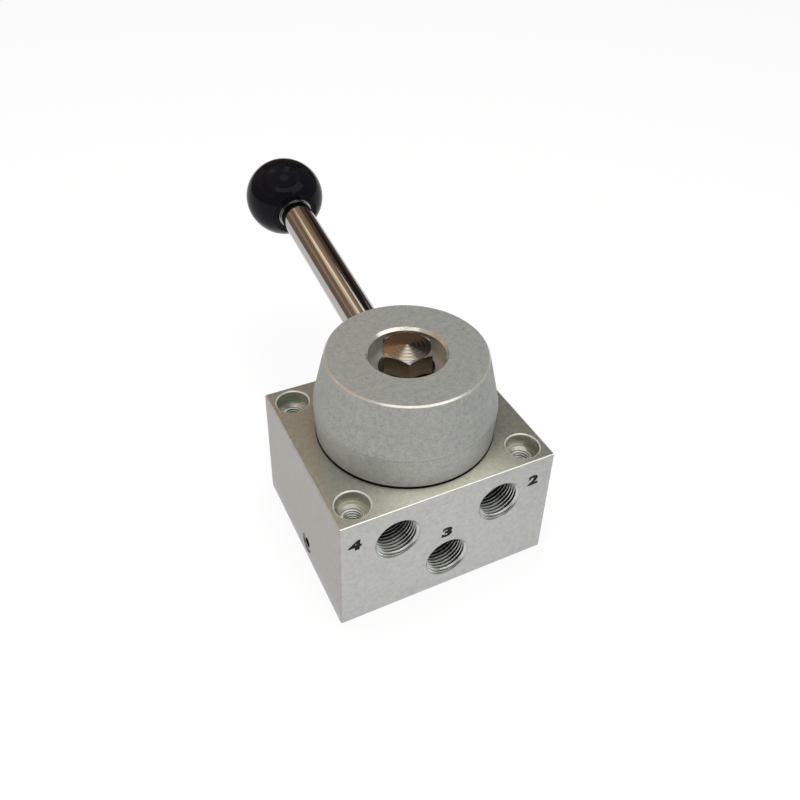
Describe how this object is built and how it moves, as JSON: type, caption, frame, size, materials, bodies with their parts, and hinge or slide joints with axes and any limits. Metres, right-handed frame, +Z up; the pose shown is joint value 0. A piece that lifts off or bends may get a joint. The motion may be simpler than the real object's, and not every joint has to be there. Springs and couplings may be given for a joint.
{
  "type": "manual rotary air valve",
  "caption": "Hand-operated rotary air valve: square-edged metal block with threaded ports, a conical cap and a ball-ended lever that swings it between positions.",
  "frame": {"origin": "centre of the block's bottom face, on the turning axis of the lever cap", "axes": "+X along the face with ports 2, 3 and 4, +Y to the rear where the lever stands in its middle position, +Z up along the cap's axis"},
  "size_m": [0.085, 0.1824, 0.1032],
  "materials": {
    "block_metal": "matt anodised, lightly mottled",
    "cast_cap": "matt die-cast, tumbled",
    "bonnet_metal": "machined",
    "chrome": "polished plate",
    "hex_steel": "bright nickel plate over turned steel",
    "steel": "ground",
    "spring_steel": "hardened",
    "bronze": "turned",
    "seal_rubber": "smooth",
    "slide_plastic": "smooth",
    "disc_metal": "lapped",
    "knob_plastic": "gloss moulded"
  },
  "bodies": {
    "body": {"valve_body": "block_metal", "drain_plug": "steel", "seat_plate": "disc_metal", "seat_dowels": "steel", "seat_seals": "seal_rubber", "bonnet": "bonnet_metal", "bonnet_seal": "seal_rubber", "bonnet_screws": "steel", "spindle_bush": "bronze", "spindle_seal": "seal_rubber", "thrust_washer": "slide_plastic"},
    "rotor": {"cap": "cast_cap", "spindle": "steel", "centre_bolt": "hex_steel", "bolt_washer": "steel", "valve_disc": "disc_metal", "disc_spring": "spring_steel", "drive_pins": "steel", "stop_pin": "steel", "detent_spring": "spring_steel", "lever_rod": "chrome", "knob_insert": "hex_steel", "ball_knob": "knob_plastic"},
    "detent": {"detent_ball": "steel"}
  },
  "joints": [
    {"name": "lever_turn", "type": "hinge", "parent": "body", "child": "rotor", "pos_m": [0, 0, 0.06], "axis": [0, 0, 1], "range_deg": [-45, 45]},
    {"name": "detent_slide", "type": "slide", "parent": "rotor", "child": "detent", "axis": [0, 0, -1], "range_m": [0, 0.0009], "stiffness_N_per_m": 1500, "springref_m": 0.004, "deforming": ["detent_spring"]}
  ]
}
